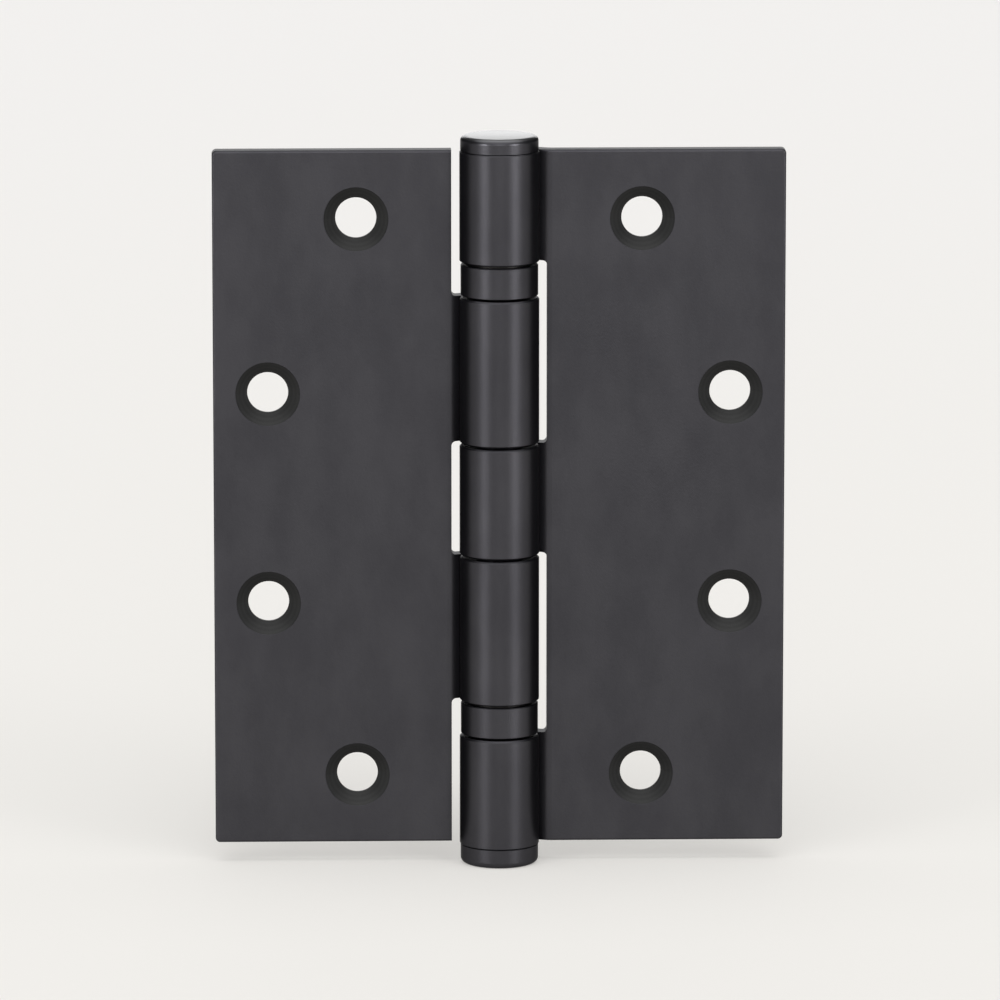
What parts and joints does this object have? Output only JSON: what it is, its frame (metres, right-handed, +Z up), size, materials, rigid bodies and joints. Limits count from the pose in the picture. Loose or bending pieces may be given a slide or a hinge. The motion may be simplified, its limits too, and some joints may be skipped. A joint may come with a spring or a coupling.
{
  "type": "ball bearing butt hinge",
  "caption": "Black steel door hinge with curled knuckles, countersunk screw holes and ball thrust bearings round a fixed pin, shown open flat.",
  "frame": {"origin": "on the pin axis, halfway between the ends of the top and bottom tips", "axes": "+Z up the pin axis, +X towards the free edge of the frame leaf, +Y towards the backs of both leaves when open flat"},
  "size_m": [0.1016, 0.0142, 0.1314],
  "materials": {
    "leaf_black": "matt black coating",
    "tip_black": "matt black coating",
    "shell_black": "matt black coating",
    "race_steel": "turned hardened steel",
    "bearing_steel": "polished hardened steel"
  },
  "bodies": {
    "frame_side": {"frame_leaf": "leaf_black", "hinge_pin": "tip_black", "bottom_plug": "tip_black", "upper_bearing_upper_race": "race_steel", "upper_bearing_shell": "shell_black", "lower_bearing_lower_race": "race_steel"},
    "door_side": {"door_leaf": "leaf_black", "upper_bearing_lower_race": "race_steel", "lower_bearing_upper_race": "race_steel", "lower_bearing_shell": "shell_black"},
    "upper_ball_ring": {"upper_bearing_ball_01": "bearing_steel", "upper_bearing_ball_02": "bearing_steel", "upper_bearing_ball_03": "bearing_steel", "upper_bearing_ball_04": "bearing_steel", "upper_bearing_ball_05": "bearing_steel", "upper_bearing_ball_06": "bearing_steel", "upper_bearing_ball_07": "bearing_steel", "upper_bearing_ball_08": "bearing_steel", "upper_bearing_ball_09": "bearing_steel", "upper_bearing_ball_10": "bearing_steel", "upper_bearing_ball_11": "bearing_steel", "upper_bearing_ball_12": "bearing_steel", "upper_bearing_ball_13": "bearing_steel", "upper_bearing_ball_14": "bearing_steel"},
    "lower_ball_ring": {"lower_bearing_ball_01": "bearing_steel", "lower_bearing_ball_02": "bearing_steel", "lower_bearing_ball_03": "bearing_steel", "lower_bearing_ball_04": "bearing_steel", "lower_bearing_ball_05": "bearing_steel", "lower_bearing_ball_06": "bearing_steel", "lower_bearing_ball_07": "bearing_steel", "lower_bearing_ball_08": "bearing_steel", "lower_bearing_ball_09": "bearing_steel", "lower_bearing_ball_10": "bearing_steel", "lower_bearing_ball_11": "bearing_steel", "lower_bearing_ball_12": "bearing_steel", "lower_bearing_ball_13": "bearing_steel", "lower_bearing_ball_14": "bearing_steel"}
  },
  "joints": [
    {"name": "leaf_swing", "type": "hinge", "parent": "frame_side", "child": "door_side", "pos_m": [0, 0, 0], "axis": [0, 0, 1], "range_deg": [-125, 180]},
    {"name": "upper_balls_roll", "type": "hinge", "parent": "frame_side", "child": "upper_ball_ring", "pos_m": [0, 0, 0], "axis": [0, 0, 1], "range_deg": [-62.5, 90]},
    {"name": "lower_balls_roll", "type": "hinge", "parent": "frame_side", "child": "lower_ball_ring", "pos_m": [0, 0, 0], "axis": [0, 0, 1], "range_deg": [-62.5, 90]}
  ],
  "couplings": [
    {"joint": "upper_balls_roll", "follows": "leaf_swing", "ratio": 0.5},
    {"joint": "lower_balls_roll", "follows": "leaf_swing", "ratio": 0.5}
  ]
}
